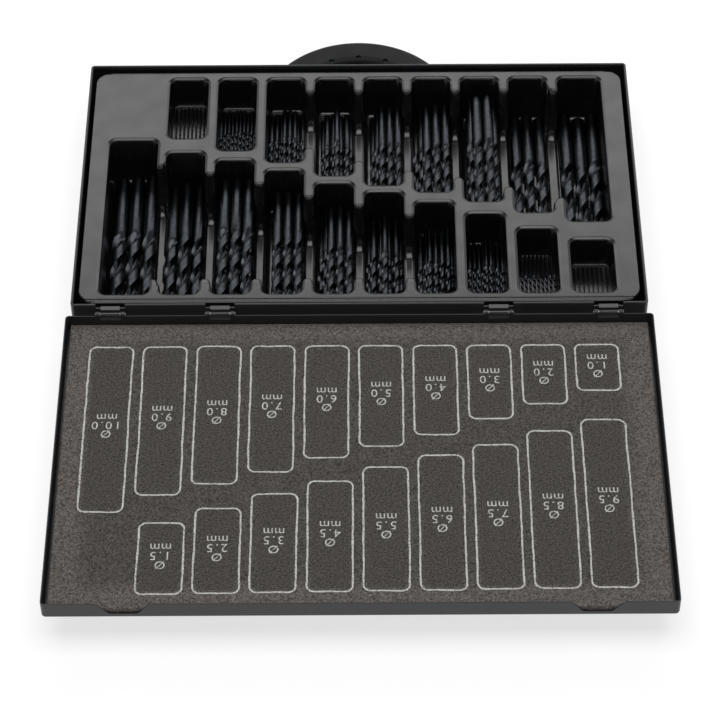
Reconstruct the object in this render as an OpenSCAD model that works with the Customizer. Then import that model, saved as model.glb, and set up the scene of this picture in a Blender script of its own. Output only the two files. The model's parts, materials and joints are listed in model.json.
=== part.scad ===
// Sheet-steel drill case, lying open through half a turn, with a formed tray full of drills.
// Origin: the centre of the base's underside. +Z is up, the handle and latches face -Y and
// the hinge is at +Y, with the open lid beyond it. Millimetres.

/* [Case] */
// Outside width of the lid
lid_w = 380; // [350:1:420]
// Outside depth of the lid, from hinge wall to latch wall
lid_d = 230; // [229:1:250]
// Outside height of the lid's walls
lid_h = 13.5; // [12.5:0.5:18]
// Outside height of the base's walls
base_h = 44; // [43:0.5:60]
// Thickness of the sheet steel of both pans
sheet = 0.8; // [0.7:0.05:0.9]
// Outside radius of the upright corners
corner_r = 2.5; // [2.2:0.1:5]
// Outside radius of the bend between a floor and its walls
bend_r = 2; // [1.5:0.1:2.1]
// Height of the folded hem along the base's rim
hem_h = 3; // [2.2:0.1:3.1]
// Room between the base and the lid's side walls when shut
side_gap = 2.5; // [1:0.1:3]
// Room between the base and the lid's latch wall when shut
latch_gap = 0.7; // [0.5:0.1:1]
// Room between the base and the lid's hinge wall when shut
hinge_gap = 1.3; // [1:0.1:1.5]
// How far the shut lid's walls reach down over the base
overlap = 5.6; // [5.2:0.1:6]

/* [Hinges] */
// Distance of the two outer hinges from the lid's sides
hinge_inset = 29; // [24:1:36]
// Distance from an outer hinge to the inner one beside it
hinge_spacing = 71; // [40:1:100]
// Width of the rim notches at each hinge
hinge_notch_w = 19; // [18.5:0.1:22]
// Depth of the base's rim notch
base_notch_h = 3.2; // [3.1:0.1:3.6]
// Depth of the lid's rim notch
lid_notch_h = 4.6; // [4.2:0.1:5]
// Width of the strap that hooks over the base's notch
strap_w = 12.4; // [10:0.1:12.8]
// Length of the strap's leg that is welded inside the base
strap_leg = 10; // [6:0.5:16]
// Width of each rolled ear on the lid
hinge_ear_w = 2.9; // [2:0.1:3]
// Radius of a hinge pin
hinge_pin_r = 0.85; // [0.8:0.01:0.9]
// Radial clearance of every pin in what turns on it
pin_fit = 0.05; // [0.02:0.01:0.08]
// Length of each pin past the outer faces of what it holds
pin_proud = 0.2; // [0.1:0.05:0.4]

/* [Latches] */
// Distance of each latch from the lid's side
latch_inset = 49; // [40:1:60]
// Width of the latch plate
latch_w = 26; // [22:0.5:28]
// Thickness of the latch plate
latch_t = 1; // [0.8:0.1:1.2]
// Radius of a latch pin
latch_pin_r = 1; // [0.9:0.05:1.2]
// Width of the hook that reaches over the lid
latch_hook_w = 12; // [8:0.5:14]
// How far the hook reaches over the lid
latch_hook_reach = 4.5; // [3:0.5:6]
// How far the thumb lips stand out beside the hook
thumb_lip = 2.5; // [1.5:0.1:2.6]
// Room between the shut latch and the lid
latch_room = 0.3; // [0.25:0.05:0.5]
// Height of the hanging latch above the ground
latch_hang = 2.8; // [2:0.1:4]
// Width of the lid's latch notch at the rim
latch_notch_top = 32; // [31:0.5:34]
// Width of the lid's latch notch at its bottom
latch_notch_bottom = 17; // [15:0.5:20]
// Depth of the lid's latch notch
latch_notch_h = 9.6; // [9:0.1:10]
// Radius of the latch notch's corners
latch_notch_r = 4; // [2:0.5:5]
// Room around the latch's boss inside the notch
boss_room = 1.2; // [0.8:0.1:2]
// Height of the latch bracket's plate
latch_plate_h = 12; // [9:0.5:14]
// Steel left round each latch pin in its bracket's ears
latch_ear_wall = 1.5; // [1:0.1:1.8]

/* [Handle] */
// Height of the handle's pivot above the ground
handle_z = 22; // [14:0.5:26]
// Distance of the handle's pivot from the base's front wall
handle_pivot_out = 8.5; // [8.3:0.1:12]
// Distance of the grip's outer edge from the base's front wall
handle_reach = 42.4; // [38:0.1:60]
// Radius of the grip's outer edge
handle_outer_r = 68.6; // [62:0.1:80]
// Width of the grip from outer to inner edge
grip_w = 22; // [14:1:24]
// Thickness of the handle
handle_t = 12; // [9:0.5:12.5]
// Radius of the grip's long edges
grip_edge_r = 5.5; // [2:0.1:5.8]
// Least flat left between two rounded edges
grip_flat = 0.2; // [0.1:0.1:2]
// Distance of the legs' inner faces from the middle
leg_inner_x = 42.5; // [38:0.5:46]
// Width of each leg
leg_w = 13; // [9:0.5:14]
// Radius of the handle's pins
handle_pin_r = 1.75; // [1.5:0.05:2.2]
// Thickness of the handle brackets' sheet
bracket_t = 1; // [0.8:0.1:1.1]
// Height of the handle bracket's plate
handle_plate_h = 16; // [12:0.5:20]
// Steel left round each handle pin in its bracket's ears
handle_ear_wall = 2; // [1.5:0.1:3]
// Room between each leg and the ears beside it
leg_room = 0.5; // [0.3:0.1:0.8]
// Radius of the three dimples on the grip
dimple_r = 1.9; // [1:0.1:2.5]
// Depth of the dimples
dimple_h = 1.2; // [0.5:0.1:2]
// Spacing of the dimples
dimple_pitch = 19; // [14:0.5:24]
// Distance of the dimples from the grip's outer edge
dimple_inset = 18.2; // [6:0.1:19]

/* [Rivets] */
// Radius of a rivet's shank
rivet_r = 1.2; // [1:0.1:1.4]
// Radius of a rivet's head where it meets the bracket
rivet_head_r = 2.4; // [2:0.1:2.6]
// Radius of the flat on top of a rivet's head
rivet_top_r = 1.7; // [1.2:0.1:2]
// Height of a rivet's head
rivet_head_h = 0.9; // [0.6:0.1:1.2]
// Radius of a rivet's upset tail inside the wall
rivet_tail_r = 1.9; // [1.6:0.1:2.2]
// Height of that tail
rivet_tail_h = 0.6; // [0.4:0.1:1]
// Clearance of a rivet in its holes
rivet_fit = 0.05; // [0.02:0.01:0.1]
// Width of the bracket's wing that holds a rivet
wing_w = 7; // [6.5:0.1:9]

/* [Tray] */
// Thickness of the tray's sheet
tray_t = 1; // [0.8:0.1:1.3]
// Depth of the tray's flat top below the base's rim
tray_drop = 3.7; // [3:0.1:4.5]
// Room between the tray and the hem, at the front and both sides
tray_gap = 2; // [1:0.1:3]
// Room between the tray and the hem on the hinge side
tray_hinge_gap = 4; // [3:0.1:5]
// Radius of the tray's corners
tray_corner_r = 8; // [4:0.5:10]
// Width of the low ledge along the hinge side
ledge_w = 3.8; // [3:0.1:5]
// Height of that ledge's step
ledge_step = 1; // [0.5:0.1:1.5]
// Width of the flat top in front of the front pockets
front_land = 7; // [5:0.5:8]
// Width of the flat top between the ledge and the hinge-side pockets
hinge_land = 3.5; // [3:0.1:5]
// Width of the flat top beside a common pocket of the two outer columns
side_land = 16.3; // [14:0.1:18]
// How much further out the two outer columns stand than an even spacing puts them
outer_shift = 2.1; // [0:0.1:2.5]
// Width of the rib between two common pockets
rib_w = 6.6; // [6:0.1:7.5]
// Radius of a pocket's upright corners
pocket_r = 3.8; // [2:0.1:5]
// Room between the deepest pockets and the base's floor
under_tray = 0.5; // [0.3:0.1:4]
// Depth of a pocket for a drill of no thickness
pocket_depth_least = 21; // [18:0.5:22]
// Extra depth for each millimetre of drill diameter
pocket_depth_rate = 2.5; // [2:0.1:2.8]
// Length of full-height rib left at each end of a finger scoop
scoop_end = 14; // [10:0.5:16]
// Height of the low rib that a scoop leaves above the shallower pocket's floor
scoop_ridge = 3; // [2:0.5:6]
// Slope of a scoop's end faces from upright
scoop_lean = 16; // [8:1:20]
// Radius at the foot of those faces
scoop_r = 10; // [6:0.5:12]

/* [Drills] */
// Gap left between neighbouring drills
drill_room = 0.12; // [0.1:0.01:0.2]
// Gap left between the drills and the pocket's walls and floor
drill_wall_room = 0.3; // [0.2:0.05:0.3]
// Room between a drill and the rounded corner of its pocket
drill_corner_room = 0.1; // [0.1:0.05:0.4]
// Scatter of a pile's drills along the pocket, for each millimetre of diameter
scatter_rate = 0.9; // [0:0.1:1]
// Seed of that scatter
scatter_seed = 143; // [1:1:999]
// Full angle of a drill's point
point_angle = 118; // [90:1:140]

/* [Foam] */
// Depth of the foam's face below the lid's rim
foam_drop = 5.9; // [5.8:0.1:7]
// Gap between the foam and the lid's side walls
foam_side_gap = 2.5; // [0.3:0.1:4]
// Gap between the foam and the lid's hinge and latch walls
foam_end_gap = 0.3; // [0.2:0.1:1]
// Radius of the foam's corners
foam_corner_r = 4; // [1:0.5:8]

/* [Hidden] */
$fn = 48;
// Finer rounding for the widest arcs
wide_arc_fn = 96;

// Overshoot of a cut past the face that it opens
cut = 1;
steel_black = "#2b2c2e";
plastic_black = "#1d1e20";
bright_steel = "#8f9194";

// Pockets of the hinge-side row, from the +X end. Each has its drills' diameter, how many
// there are, their overall length, the pocket's spare length and its spare width, whether the
// drills lie spread over the width, and how far they have slid back from the hinge end. Those
// that aren't spread lie close together against the -X wall.
HINGE_ROW = [
    [10, 3, 133, 10, 6.5, false, 0], [9, 3, 125, 6, 0, true, 0], [8, 8, 117, 6.5, 0, false, 0],
    [7, 8, 109, 4.5, 0, false, 0], [6, 10, 93, 8, 0, false, 0], [5, 10, 86, 6.5, 0, false, 0],
    [4, 10, 75, 8, 0, false, 0], [3, 10, 61, 11, 0, false, 5], [2, 10, 49, 9, 0, true, 4.5],
    [1, 10, 34, 13.5, 2, true, 6]];
// Pockets of the front row, which starts one column later
FRONT_ROW = [
    [1.5, 10, 40, 18.5, 0, true, 10.5], [2.5, 10, 57, 13.5, 0, true, 3.5],
    [3.5, 10, 70, 12, 0, false, 0], [4.5, 10, 80, 15, 0, false, 0],
    [5.5, 10, 93, 11.5, 0, false, 0], [6.5, 10, 101, 10, 0, false, 0],
    [7.5, 10, 109, 11, 0, false, 0], [8.5, 3, 117, 13.5, 0, false, 0],
    [9.5, 3, 125, 14, 3.5, false, 0]];
// The first and last column of each row whose rib towards the next has a finger scoop
HINGE_SCOOPS = [0, 5];
FRONT_SCOOPS = [3, 8];

base_w = lid_w - 2 * (sheet + side_gap);
base_d = lid_d - 2 * sheet - latch_gap - hinge_gap;
rear_y = base_d / 2;
front_y = -base_d / 2;

// Rolled sheet round a hinge pin, and the pin's place
knuckle_r = hinge_pin_r + pin_fit + sheet;
pin_y = rear_y + hinge_gap + knuckle_r;
pin_z = base_h - overlap;
hinge_outer_x = lid_w / 2 - hinge_inset;
hinge_inner_x = hinge_outer_x - hinge_spacing;
HINGE_X = [-hinge_outer_x, -hinge_inner_x, hinge_inner_x, hinge_outer_x];

// The open lid: its hinge wall is the shut one turned half round the pin
lid_rear_y = 2 * pin_y - rear_y - hinge_gap - sheet;
lid_y = lid_rear_y + lid_d / 2;
lid_z = pin_z - lid_h;
shut_top_z = pin_z + lid_h;
foam_w = lid_w - 2 * (sheet + foam_side_gap);
foam_d = lid_d - 2 * (sheet + foam_end_gap);
foam_t = lid_h - sheet - foam_drop;
// The foam's lower edge is cut back by this much to clear the lid's bends
foam_relief = bend_r - sheet;

// The latches: the plate's inner face clears the shut lid's latch wall
latch_x = lid_w / 2 - latch_inset;
latch_knuckle_r = latch_pin_r + pin_fit + latch_t;
latch_plate_out = latch_gap + sheet + latch_room;
latch_pivot_out = latch_plate_out + latch_knuckle_r;
latch_pivot_z = (shut_top_z + latch_room + latch_t + latch_hang) / 2;
latch_len = shut_top_z + latch_room + latch_t - latch_pivot_z;
latch_ear_x = latch_w / 2 + leg_room;
latch_wing_x = latch_ear_x + bracket_t + wing_w;
latch_rivet_x = latch_wing_x - wing_w / 2;

// The handle
grip_centre_out = handle_reach - handle_outer_r;
leg_outer_x = leg_inner_x + leg_w;
handle_ear_in_x = leg_inner_x - leg_room - bracket_t;
handle_ear_out_x = leg_outer_x + leg_room;
handle_wing_x = handle_ear_out_x + bracket_t + wing_w;
handle_wing_in_x = handle_ear_in_x - wing_w;
dimple_arc_r = handle_outer_r - dimple_inset;

// The tray
tray_w = base_w - 2 * (2 * sheet + tray_gap);
tray_front_y = front_y + 2 * sheet + tray_gap;
tray_rear_y = rear_y - 2 * sheet - tray_hinge_gap;
tray_d = tray_rear_y - tray_front_y;
tray_y = (tray_front_y + tray_rear_y) / 2;
land_z = base_h - tray_drop;
ledge_y = tray_rear_y - ledge_w;
hinge_pocket_y = ledge_y - hinge_land;
front_pocket_y = tray_front_y + front_land;
columns = len(HINGE_ROW);
column_pitch = (tray_w / 2 - side_land - outer_shift + rib_w / 2) / (columns / 2);
pocket_w = column_pitch - rib_w;
pocket_deepest = land_z - tray_t - under_tray - sheet;

// Sizes of one pocket and of the drills in it
function size_of(p) = p[0];
function count_of(p) = p[1];
function length_of(p) = p[2];
function pocket_len(p) = length_of(p) + p[3];
function pocket_width(p) = pocket_w + p[4];
function pocket_depth(p) = min(pocket_deepest, pocket_depth_least + pocket_depth_rate * size_of(p));
function outer_side(col) = col == 0 ? 1 : (col == columns - 1 ? -1 : 0);
function column_x(col) = ((columns - 1) / 2 - col) * column_pitch + outer_side(col) * outer_shift;

// A row's pocket as [centre x, centre y, pocket]
function hinge_place(col) = let(p = HINGE_ROW[col])
    [column_x(col), hinge_pocket_y - pocket_len(p) / 2, p];
function front_place(col) = let(p = FRONT_ROW[col - 1])
    [column_x(col), front_pocket_y + pocket_len(p) / 2, p];
PLACES = concat(
    [for (col = [0:columns - 1]) hinge_place(col)],
    [for (col = [1:len(FRONT_ROW)]) front_place(col)]);

// How a pile lies: drills side by side on the floor, then layers nested in between
function is_spread(p) = p[5];
function slid_back(p) = p[6];
function pile_w(p) = pocket_width(p) - 2 * drill_wall_room;
function spacing(p) = size_of(p) + drill_room;
function side_by_side(p) = min(count_of(p), floor((pile_w(p) + drill_room) / spacing(p)));
function pile_pitch(p) = is_spread(p) ? (pile_w(p) - size_of(p)) / (side_by_side(p) - 1)
    : spacing(p);
function layer_rise(p) = let(half = pile_pitch(p) / 2)
    sqrt(max(0, spacing(p) * spacing(p) - half * half));
// The k-th drill of a pile as [layer, place in it, places in it, drills in it]
function pile_slot(p, k, left, layer = 0) =
    let(places = side_by_side(p) - layer % 2)
    k < places ? [layer, k, places, min(places, left)]
        : pile_slot(p, k - places, left - places, layer + 1);

// How far the pocket's rounded corner reaches along a drill that lies beside the wall
corner_side = pocket_r - drill_wall_room;
corner_room = pocket_r - sqrt(pocket_r * pocket_r - corner_side * corner_side)
    + drill_corner_room;
function point_len(d) = d / 2 / tan(point_angle / 2);
function tip_room(d) = max(drill_wall_room, corner_room - point_len(d));

// Points of an arc from angle a to angle b
function arc(x, y, r, a, b, steps = 8) =
    [for (i = [0:steps]) let(t = a + (b - a) * i / steps) [x + r * cos(t), y + r * sin(t)]];

module rounded_rect(w, d, r) {
    square([w - 2 * r, d], center = true);
    square([w, d - 2 * r], center = true);
    for (x = [-1, 1], y = [-1, 1])
        translate([x * (w / 2 - r), y * (d / 2 - r)]) circle(r);
}

// Section of a pan's wall, bend and strip of floor, with the wall's outer face at x = 0
module pan_section(h, hemmed) {
    wall_top = hemmed ? h - sheet : h - sheet / 2;
    translate([-sheet, bend_r]) square([sheet, wall_top - bend_r]);
    translate([-bend_r, bend_r]) intersection() {
        difference() {
            circle(bend_r);
            circle(bend_r - sheet);
        }
        translate([0, -bend_r]) square(bend_r);
    }
    translate([-corner_r, 0]) square([corner_r - bend_r, sheet]);
    if (hemmed) {
        translate([-2 * sheet, h - hem_h]) square([sheet, hem_h - sheet]);
        translate([-sheet, h - sheet]) intersection() {
            circle(sheet);
            translate([-sheet, 0]) square([2 * sheet, sheet]);
        }
    } else {
        translate([-sheet / 2, wall_top]) circle(sheet / 2);
    }
}

// An open pan: floor at z = 0, walls up to z = h, centred on x and y
module pan(w, d, h, hemmed) {
    flat_w = w - 2 * corner_r;
    flat_d = d - 2 * corner_r;
    translate([-flat_w / 2, -flat_d / 2, 0]) cube([flat_w, flat_d, sheet]);
    for (side = [0, 180]) rotate(side) {
        translate([flat_w / 2 + corner_r, flat_d / 2, 0]) rotate([90, 0, 0])
            linear_extrude(flat_d) pan_section(h, hemmed);
        translate([-flat_w / 2, flat_d / 2 + corner_r, 0]) rotate([90, 0, 90])
            linear_extrude(flat_w) pan_section(h, hemmed);
        translate([flat_w / 2, flat_d / 2, 0]) rotate_extrude(angle = 90)
            translate([corner_r, 0]) pan_section(h, hemmed);
        translate([-flat_w / 2, flat_d / 2, 0]) rotate(90) rotate_extrude(angle = 90)
            translate([corner_r, 0]) pan_section(h, hemmed);
    }
}

module rivet_hole(x, z) {
    translate([x, front_y - cut, z]) rotate([-90, 0, 0])
        cylinder(r = rivet_r + rivet_fit, h = sheet + 2 * cut);
}

module base_pan() {
    color(steel_black) difference() {
        pan(base_w, base_d, base_h, true);
        for (x = HINGE_X)
            translate([x - hinge_notch_w / 2, rear_y - 2 * sheet - cut, base_h - base_notch_h])
                cube([hinge_notch_w, 2 * sheet + 2 * cut, base_notch_h + cut]);
        for (side = [-1, 1]) {
            for (x = [handle_wing_in_x + wing_w / 2, handle_wing_x - wing_w / 2])
                rivet_hole(side * x, handle_z);
            for (wing = [-1, 1])
                rivet_hole(side * latch_x + wing * latch_rivet_x, latch_pivot_z);
        }
    }
}

// Outline of a latch notch with its rim at y = 0, made smaller all round by room
module latch_notch_outline(room) {
    top = latch_notch_top / 2 - room;
    bottom = latch_notch_bottom / 2 - room;
    depth = latch_notch_h - room;
    slope = atan2(depth, top - bottom);
    run = latch_notch_r * tan(slope / 2);
    right = concat(
        arc(bottom - run, latch_notch_r - depth, latch_notch_r, -90, slope - 90),
        arc(top + run, -latch_notch_r, latch_notch_r, 90 + slope, 90));
    left = [for (i = [len(right) - 1:-1:0]) [-right[i][0], right[i][1]]];
    polygon(concat(right, [[top + run, cut], [-top - run, cut]], left));
}

module lid_pan() {
    color(steel_black) {
        difference() {
            translate([0, lid_y, lid_z]) pan(lid_w, lid_d, lid_h, false);
            for (x = HINGE_X)
                translate([x - hinge_notch_w / 2, lid_rear_y - cut, pin_z - lid_notch_h])
                    cube([hinge_notch_w, sheet + 2 * cut, lid_notch_h + cut]);
            for (side = [-1, 1])
                translate([side * latch_x, lid_rear_y + lid_d + cut, pin_z]) rotate([90, 0, 0])
                    linear_extrude(sheet + 2 * cut) latch_notch_outline(0);
        }
        for (x = HINGE_X, side = [-1, 1])
            translate([x + side * (hinge_notch_w - hinge_ear_w) / 2, 0, 0]) hinge_ear();
    }
}

// One rolled ear: a tongue of the lid's wall curled round the pin
module hinge_ear() {
    translate([-hinge_ear_w / 2, pin_y, pin_z]) rotate([90, 0, 90]) linear_extrude(hinge_ear_w)
        difference() {
            union() {
                circle(knuckle_r);
                translate([knuckle_r - sheet, -lid_notch_h]) square([sheet, lid_notch_h]);
            }
            circle(hinge_pin_r + pin_fit);
        }
}

module foam_pad() {
    color("#7d7874") translate([0, lid_y, lid_z + sheet]) {
        linear_extrude(foam_relief)
            rounded_rect(foam_w - 2 * foam_relief, foam_d - 2 * foam_relief, foam_corner_r);
        translate([0, 0, foam_relief]) linear_extrude(foam_t - foam_relief)
            rounded_rect(foam_w, foam_d, foam_corner_r);
    }
}

// A strap: rolled round the pin, up over the base's notch and down inside the base's wall
module hinge_straps() {
    hook_z = base_h - base_notch_h - pin_z;
    wall_out = rear_y - pin_y;
    inner_out = wall_out - 2 * sheet;
    color(steel_black) for (x = HINGE_X)
        translate([x - strap_w / 2, pin_y, pin_z]) rotate([90, 0, 90]) linear_extrude(strap_w)
            difference() {
                union() {
                    circle(knuckle_r);
                    translate([-knuckle_r, 0]) square([sheet, hook_z]);
                    translate([inner_out + sheet, hook_z])
                        square([-knuckle_r - inner_out, sheet]);
                    translate([inner_out, hook_z - strap_leg]) square([sheet, strap_leg]);
                    for (bend_out = [inner_out + sheet, -knuckle_r])
                        translate([bend_out, hook_z]) intersection() {
                            circle(sheet);
                            translate([bend_out < -knuckle_r ? -sheet : 0, 0]) square(sheet);
                        }
                }
                circle(hinge_pin_r + pin_fit);
            }
}

module hinge_pins() {
    length = hinge_notch_w + 2 * pin_proud;
    color(bright_steel) for (x = HINGE_X)
        translate([x - length / 2, pin_y, pin_z]) rotate([0, 90, 0])
            cylinder(r = hinge_pin_r, h = length);
}

// The handle's bow: a rounded bar bent on an arc, cut off along the pivot line and the legs
module handle_bow() {
    edge_r = min(grip_edge_r, (handle_t - grip_flat) / 2);
    translate([0, front_y, handle_z]) mirror([0, 1, 0]) difference() {
        intersection() {
            translate([0, grip_centre_out, 0]) rotate_extrude($fn = wide_arc_fn)
                translate([handle_outer_r - grip_w / 2, 0]) rounded_rect(grip_w, handle_t, edge_r);
            translate([-leg_outer_x, handle_pivot_out, -handle_t])
                cube([2 * leg_outer_x, handle_reach, 2 * handle_t]);
        }
        translate([-leg_inner_x, 0, -handle_t])
            cube([2 * leg_inner_x, handle_pivot_out + handle_t / 2 + leg_room, 2 * handle_t]);
    }
}

module handle() {
    color(plastic_black) difference() {
        union() {
            handle_bow();
            for (side = [-1, 1])
                translate([side * (leg_inner_x + leg_w / 2), 0, 0]) handle_pivot(leg_w, handle_t / 2);
        }
        for (side = [-1, 1])
            translate([side * (leg_inner_x + leg_w / 2), 0, 0])
                handle_pivot(leg_w + 2 * cut, handle_pin_r + pin_fit);
        for (i = [-1:1]) {
            x = i * dimple_pitch;
            out = grip_centre_out + sqrt(dimple_arc_r * dimple_arc_r - x * x);
            translate([x, front_y - out, handle_z + handle_t / 2 - dimple_h])
                cylinder(r = dimple_r, h = dimple_h + cut);
        }
    }
}

// A round bar on the handle's pivot line
module handle_pivot(length, r) {
    translate([-length / 2, front_y - handle_pivot_out, handle_z]) rotate([0, 90, 0])
        cylinder(r = r, h = length);
}

// A bracket's plate against the front wall, with a rivet hole in each wing
module bracket_plate(inner_x, outer_x, plate_h, z) {
    difference() {
        translate([inner_x, front_y - bracket_t, z - plate_h / 2])
            cube([outer_x - inner_x, bracket_t, plate_h]);
        for (x = [inner_x + wing_w / 2, outer_x - wing_w / 2])
            translate([x, front_y - bracket_t - cut, z]) rotate([-90, 0, 0])
                cylinder(r = rivet_r + rivet_fit, h = bracket_t + 2 * cut);
    }
}

// An ear that stands out from the plate and holds a pin
module bracket_ear(x, out, z, r, pin_r) {
    translate([x, front_y, z]) rotate([0, 90, 0]) linear_extrude(bracket_t) difference() {
        union() {
            translate([-r, -out]) square([2 * r, out - bracket_t]);
            translate([0, -out]) circle(r);
        }
        translate([0, -out]) circle(pin_r);
    }
}

module handle_brackets() {
    ear_r = handle_pin_r + handle_ear_wall;
    color(steel_black) for (side = [0, 1]) mirror([side, 0, 0]) {
        bracket_plate(handle_wing_in_x, handle_wing_x, handle_plate_h, handle_z);
        for (x = [handle_ear_in_x, handle_ear_out_x])
            bracket_ear(x, handle_pivot_out, handle_z, ear_r, handle_pin_r + pin_fit);
    }
}

module handle_pins() {
    length = leg_w + 2 * (leg_room + bracket_t + pin_proud);
    color(bright_steel) for (side = [-1, 1])
        translate([side * (leg_inner_x + leg_w / 2), 0, 0]) handle_pivot(length, handle_pin_r);
}

// A rivet through a bracket and the front wall, head outside and tail inside
module rivet(x, z) {
    translate([x, front_y - bracket_t, z]) rotate([90, 0, 0])
        cylinder(r1 = rivet_head_r, r2 = rivet_top_r, h = rivet_head_h);
    translate([x, front_y - bracket_t, z]) rotate([-90, 0, 0])
        cylinder(r = rivet_r, h = bracket_t + sheet);
    translate([x, front_y + sheet, z]) rotate([-90, 0, 0])
        cylinder(r = rivet_tail_r, h = rivet_tail_h);
}

module handle_rivets() {
    color(bright_steel) for (side = [-1, 1])
        for (x = [handle_wing_in_x + wing_w / 2, handle_wing_x - wing_w / 2])
            rivet(side * x, handle_z);
}

module latch_rivets() {
    color(bright_steel) for (side = [-1, 1], wing = [-1, 1])
        rivet(side * latch_x + wing * latch_rivet_x, latch_pivot_z);
}

module latch_brackets() {
    color(steel_black) for (side = [-1, 1]) translate([side * latch_x, 0, 0]) {
        bracket_plate(-latch_wing_x, latch_wing_x, latch_plate_h, latch_pivot_z);
        for (x = [-latch_ear_x - bracket_t, latch_ear_x])
            bracket_ear(x, latch_pivot_out, latch_pivot_z, latch_pin_r + latch_ear_wall,
                latch_pin_r + pin_fit);
    }
}

module latch_pins() {
    length = 2 * (latch_ear_x + bracket_t + pin_proud);
    color(bright_steel) for (side = [-1, 1])
        translate([side * latch_x - length / 2, front_y - latch_pivot_out, latch_pivot_z])
            rotate([0, 90, 0]) cylinder(r = latch_pin_r, h = length);
}

// A latch as it stands when shut: pivot on the X axis, +Z up, the case towards +Y
module shut_latch() {
    lip_w = (latch_w - latch_hook_w) / 2;
    inner = latch_knuckle_r;
    difference() {
        union() {
            translate([-latch_w / 2, 0, 0]) rotate([0, 90, 0])
                cylinder(r = latch_knuckle_r, h = latch_w);
            translate([-latch_w / 2, inner - latch_t, 0]) cube([latch_w, latch_t, latch_len]);
            translate([-latch_hook_w / 2, inner, latch_len - latch_t])
                cube([latch_hook_w, latch_hook_reach, latch_t]);
            for (x = [-latch_w / 2, latch_hook_w / 2])
                translate([x, inner - latch_t - thumb_lip, latch_len - latch_t])
                    cube([lip_w, thumb_lip, latch_t]);
            // Pressed boss that sits in the lid's notch
            translate([0, inner, pin_z - latch_pivot_z]) rotate([90, 0, 180]) mirror([0, 1, 0])
                linear_extrude(latch_room + sheet) intersection() {
                    latch_notch_outline(boss_room);
                    translate([-latch_w / 2 + boss_room, -latch_notch_h])
                        square([latch_w - 2 * boss_room, latch_notch_h - boss_room]);
                }
        }
        translate([-latch_w / 2 - cut, 0, 0]) rotate([0, 90, 0])
            cylinder(r = latch_pin_r + pin_fit, h = latch_w + 2 * cut);
    }
}

// A latch hanging open: the shut one turned half round its pin
module open_latch(side) {
    color(steel_black)
        translate([side * latch_x, front_y - latch_pivot_out, latch_pivot_z])
            rotate([180, 0, 0]) shut_latch();
}

module latch_left() { open_latch(-1); }
module latch_right() { open_latch(1); }

// The tray's solid form, or with an inset the hollow under its skin
module tray_form(inset) {
    difference() {
        translate([0, tray_y, sheet - (inset > 0 ? cut : 0)])
            linear_extrude(land_z - inset - sheet + (inset > 0 ? cut : 0))
                rounded_rect(tray_w - 2 * inset, tray_d - 2 * inset, tray_corner_r - inset);
        translate([-tray_w, ledge_y - inset, land_z - ledge_step - inset])
            cube([2 * tray_w, tray_d, ledge_step + inset + cut]);
    }
}

module pocket(place, grow) {
    p = place[2];
    translate([place[0], place[1], land_z - pocket_depth(p) - grow])
        linear_extrude(pocket_depth(p) + grow + cut)
            rounded_rect(pocket_width(p) + 2 * grow, pocket_len(p) + 2 * grow, pocket_r + grow);
}

// A finger scoop across the rib between a column and the next: a deep trough down to a low
// ridge, with leaning ends and a rounded foot. p is the shallower pocket beside it.
module scoop(col, near_y, far_y, p, grow) {
    depth = pocket_depth(p) - scoop_ridge;
    half = (far_y - near_y) / 2 - scoop_end;
    foot_y = half - (depth - scoop_r) * tan(scoop_lean) - scoop_r / cos(scoop_lean);
    top_y = half + cut * tan(scoop_lean) + grow / cos(scoop_lean);
    translate([column_x(col + 1), (near_y + far_y) / 2, land_z]) rotate([90, 0, 90])
        linear_extrude(column_pitch) polygon(concat([[top_y, cut]],
            arc(foot_y, scoop_r - depth, scoop_r + grow, -scoop_lean, -90),
            arc(-foot_y, scoop_r - depth, scoop_r + grow, -90, scoop_lean - 180),
            [[-top_y, cut]]));
}

module scoops(grow) {
    for (col = [HINGE_SCOOPS[0]:HINGE_SCOOPS[1]]) let(p = HINGE_ROW[col + 1])
        scoop(col, hinge_pocket_y - pocket_len(p), hinge_pocket_y, p, grow);
    for (col = [FRONT_SCOOPS[0]:FRONT_SCOOPS[1]]) let(p = FRONT_ROW[col - 1])
        scoop(col, front_pocket_y, front_pocket_y + pocket_len(p), p, grow);
}

module drill_tray() {
    color(plastic_black) difference() {
        tray_form(0);
        difference() {
            tray_form(tray_t);
            for (place = PLACES) pocket(place, tray_t);
            scoops(tray_t);
        }
        for (place = PLACES) pocket(place, 0);
        scoops(0);
    }
}

// One drill along +Y: plain shank end at y = 0, point at y = length
module drill(d, length) {
    rotate([-90, 0, 0]) {
        cylinder(d = d, h = length - point_len(d));
        translate([0, 0, length - point_len(d)]) cylinder(d1 = d, d2 = 0, h = point_len(d));
    }
}

// The pile of drills in the pocket for one diameter, points towards the hinge
module drill_pile(d) {
    place = [for (q = PLACES) if (size_of(q[2]) == d) q][0];
    p = place[2];
    slack = pocket_len(p) - length_of(p) - slid_back(p) - tip_room(d) - corner_room;
    shifts = rands(0, min(scatter_rate * d, slack), count_of(p), scatter_seed + 2 * d);
    color("#3a3c40") for (k = [0:count_of(p) - 1]) {
        slot = pile_slot(p, k, count_of(p));
        first = floor((slot[2] - slot[3]) / 2) + slot[0] % 2 / 2;
        x = place[0] - (pile_w(p) - d) / 2 + (slot[1] + first) * pile_pitch(p);
        y = place[1] + pocket_len(p) / 2 - tip_room(d) - slid_back(p) - length_of(p)
            - shifts[k];
        z = land_z - pocket_depth(p) + drill_wall_room + d / 2 + slot[0] * layer_rise(p);
        translate([x, y, z]) drill(d, length_of(p));
    }
}

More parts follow.
